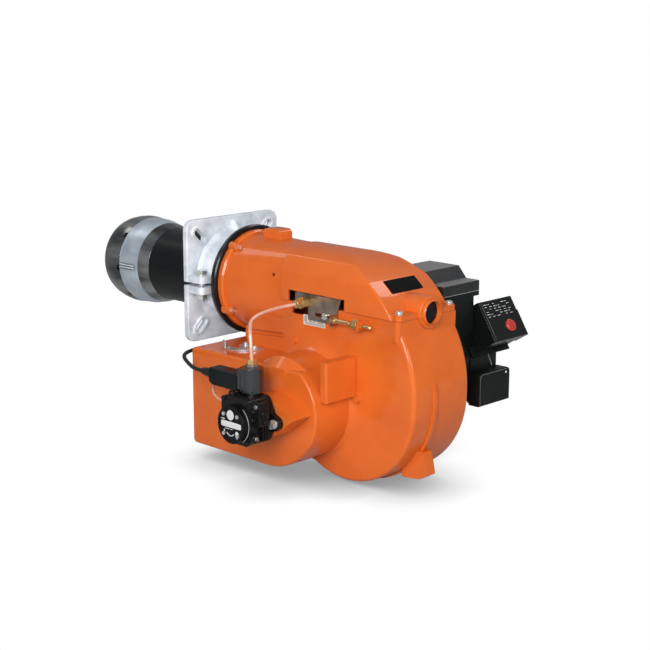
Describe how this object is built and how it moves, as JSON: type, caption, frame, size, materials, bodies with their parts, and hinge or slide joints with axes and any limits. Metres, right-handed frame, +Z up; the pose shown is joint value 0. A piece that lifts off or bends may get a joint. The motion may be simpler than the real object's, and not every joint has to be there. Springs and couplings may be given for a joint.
{
  "type": "two-stage diesel burner",
  "caption": "Two-stage oil burner with a sliding boiler flange, blast tube, fan casing, side motor, fuel pump and air intake box.",
  "frame": {"origin": "centre of the boiler flange's boiler-side face, on the blast tube's axis", "axes": "-X along the blast tube into the boiler, +Z up, -Y towards the fuel pump and air intake, +Y towards the motor"},
  "size_m": [0.784, 0.5072, 0.4007],
  "materials": {
    "cast_aluminium": "fine sand-cast grain",
    "zinc_steel": "bright zinc plated",
    "tube_black": "satin black stove paint",
    "ring_black": "glossy black paint",
    "burnt_steel": "dark heat-tinted steel",
    "band_steel": "plain steel sheet",
    "orange_paint": "glossy orange enamel on casting",
    "clear_glass": "flat sight glass",
    "black_gloss": "moulded gloss black",
    "sheet_zinc": "galvanised sheet",
    "motor_paint": "satin black paint",
    "core_steel": "machined steel",
    "black_plastic": "moulded matt black",
    "brass_fitting": "turned brass",
    "pump_black": "black coated casting",
    "pump_cover_black": "black coated cover",
    "coil_plastic": "potted black coil",
    "black_rubber": "smooth rubber",
    "copper_pipe": "drawn copper tube",
    "white_ceramic": "glazed insulator",
    "plate_steel": "polished plate",
    "red_plastic": "translucent red button"
  },
  "bodies": {
    "flange": {"boiler_flange": "cast_aluminium", "clamp_bolt": "zinc_steel"},
    "burner": {"blast_tube": "tube_black", "tube_ring": "ring_black", "head_taper": "burnt_steel", "head_band": "band_steel", "head_nose": "burnt_steel", "fan_casing": "orange_paint", "top_cover": "orange_paint", "casing_screws": "zinc_steel", "sight_port": "orange_paint", "sight_glass": "clear_glass", "badge_plate": "black_gloss", "fan_inlet_ring": "sheet_zinc", "motor_casing": "motor_paint", "motor_shields": "cast_aluminium", "motor_stator": "core_steel", "motor_bearings": "core_steel", "motor_fan_cowl": "motor_paint", "motor_capacitor": "black_plastic", "jack_body": "brass_fitting", "intake_grille": "black_plastic", "pump_body": "pump_black", "pump_cover": "pump_cover_black", "pump_screws": "zinc_steel", "solenoid_stem": "zinc_steel", "solenoid_coil": "coil_plastic", "solenoid_plug": "black_plastic", "cable_glands": "black_rubber", "solenoid_cable": "black_rubber", "nozzle_pipe_lower": "copper_pipe", "jack_pipe": "copper_pipe", "pipe_nuts": "brass_fitting", "head_scale": "plate_steel", "electric_cover": "black_plastic", "electric_base": "black_plastic", "ignition_transformer": "black_plastic", "control_box": "black_gloss", "control_socket": "black_plastic", "plug_socket": "black_plastic"},
    "rotor": {"fan_wheel": "sheet_zinc", "motor_rotor": "core_steel", "motor_shaft": "core_steel", "motor_cooling_fan": "black_plastic", "pump_coupling": "black_plastic", "pump_shaft": "core_steel"},
    "damper": {"damper_flap": "sheet_zinc"},
    "jack_rod": {"jack_piston": "zinc_steel"},
    "sector": {"damper_sector": "sheet_zinc"},
    "head_carriage": {"nozzle_line": "brass_fitting", "nozzles": "brass_fitting", "flame_disc": "band_steel", "electrodes": "white_ceramic", "side_plate": "plate_steel", "line_union": "brass_fitting", "nozzle_pipe_upper": "copper_pipe", "adjuster_spindle": "zinc_steel"},
    "knob": {"adjuster_knob": "zinc_steel"},
    "button": {"reset_button": "red_plastic"},
    "plunger": {"solenoid_plunger": "core_steel"}
  },
  "joints": [
    {"name": "flange_slide", "type": "slide", "parent": "flange", "child": "burner", "axis": [1, 0, 0], "range_m": [-0.004, 0.1]},
    {"name": "fan_spin", "type": "hinge", "parent": "burner", "child": "rotor", "pos_m": [0.283, 0, -0.167], "axis": [0, 1, 0], "continuous": true},
    {"name": "damper_turn", "type": "hinge", "parent": "burner", "child": "damper", "pos_m": [0.135, -0.086, -0.18], "axis": [0, 0, 1], "range_deg": [0, 50], "stiffness_Nm_per_rad": 0.05},
    {"name": "jack_push", "type": "slide", "parent": "burner", "child": "jack_rod", "axis": [1, 0, 0], "range_m": [0, 0.021]},
    {"name": "sector_set", "type": "hinge", "parent": "burner", "child": "sector", "pos_m": [0.135, -0.086, -0.0957], "axis": [0, 0, 1], "range_deg": [-5, 20]},
    {"name": "head_adjust", "type": "slide", "parent": "burner", "child": "head_carriage", "axis": [1, 0, 0], "range_m": [-0.006, 0.006]},
    {"name": "knob_turn", "type": "hinge", "parent": "burner", "child": "knob", "pos_m": [0.387, -0.079, -0.022], "axis": [1, 0, 0], "range_deg": [-1080, 1080]},
    {"name": "reset_press", "type": "slide", "parent": "burner", "child": "button", "axis": [-0.891, 0, -0.454], "range_m": [0, 0.003], "stiffness_N_per_m": 400},
    {"name": "valve_lift", "type": "slide", "parent": "burner", "child": "plunger", "axis": [0, 0, 1], "range_m": [0, 0.0015], "stiffness_N_per_m": 300}
  ],
  "couplings": [
    {"joint": "jack_push", "follows": "damper_turn", "m_per_rad": 0.024},
    {"joint": "knob_turn", "follows": "head_adjust", "rad_per_m": 3141.6}
  ]
}
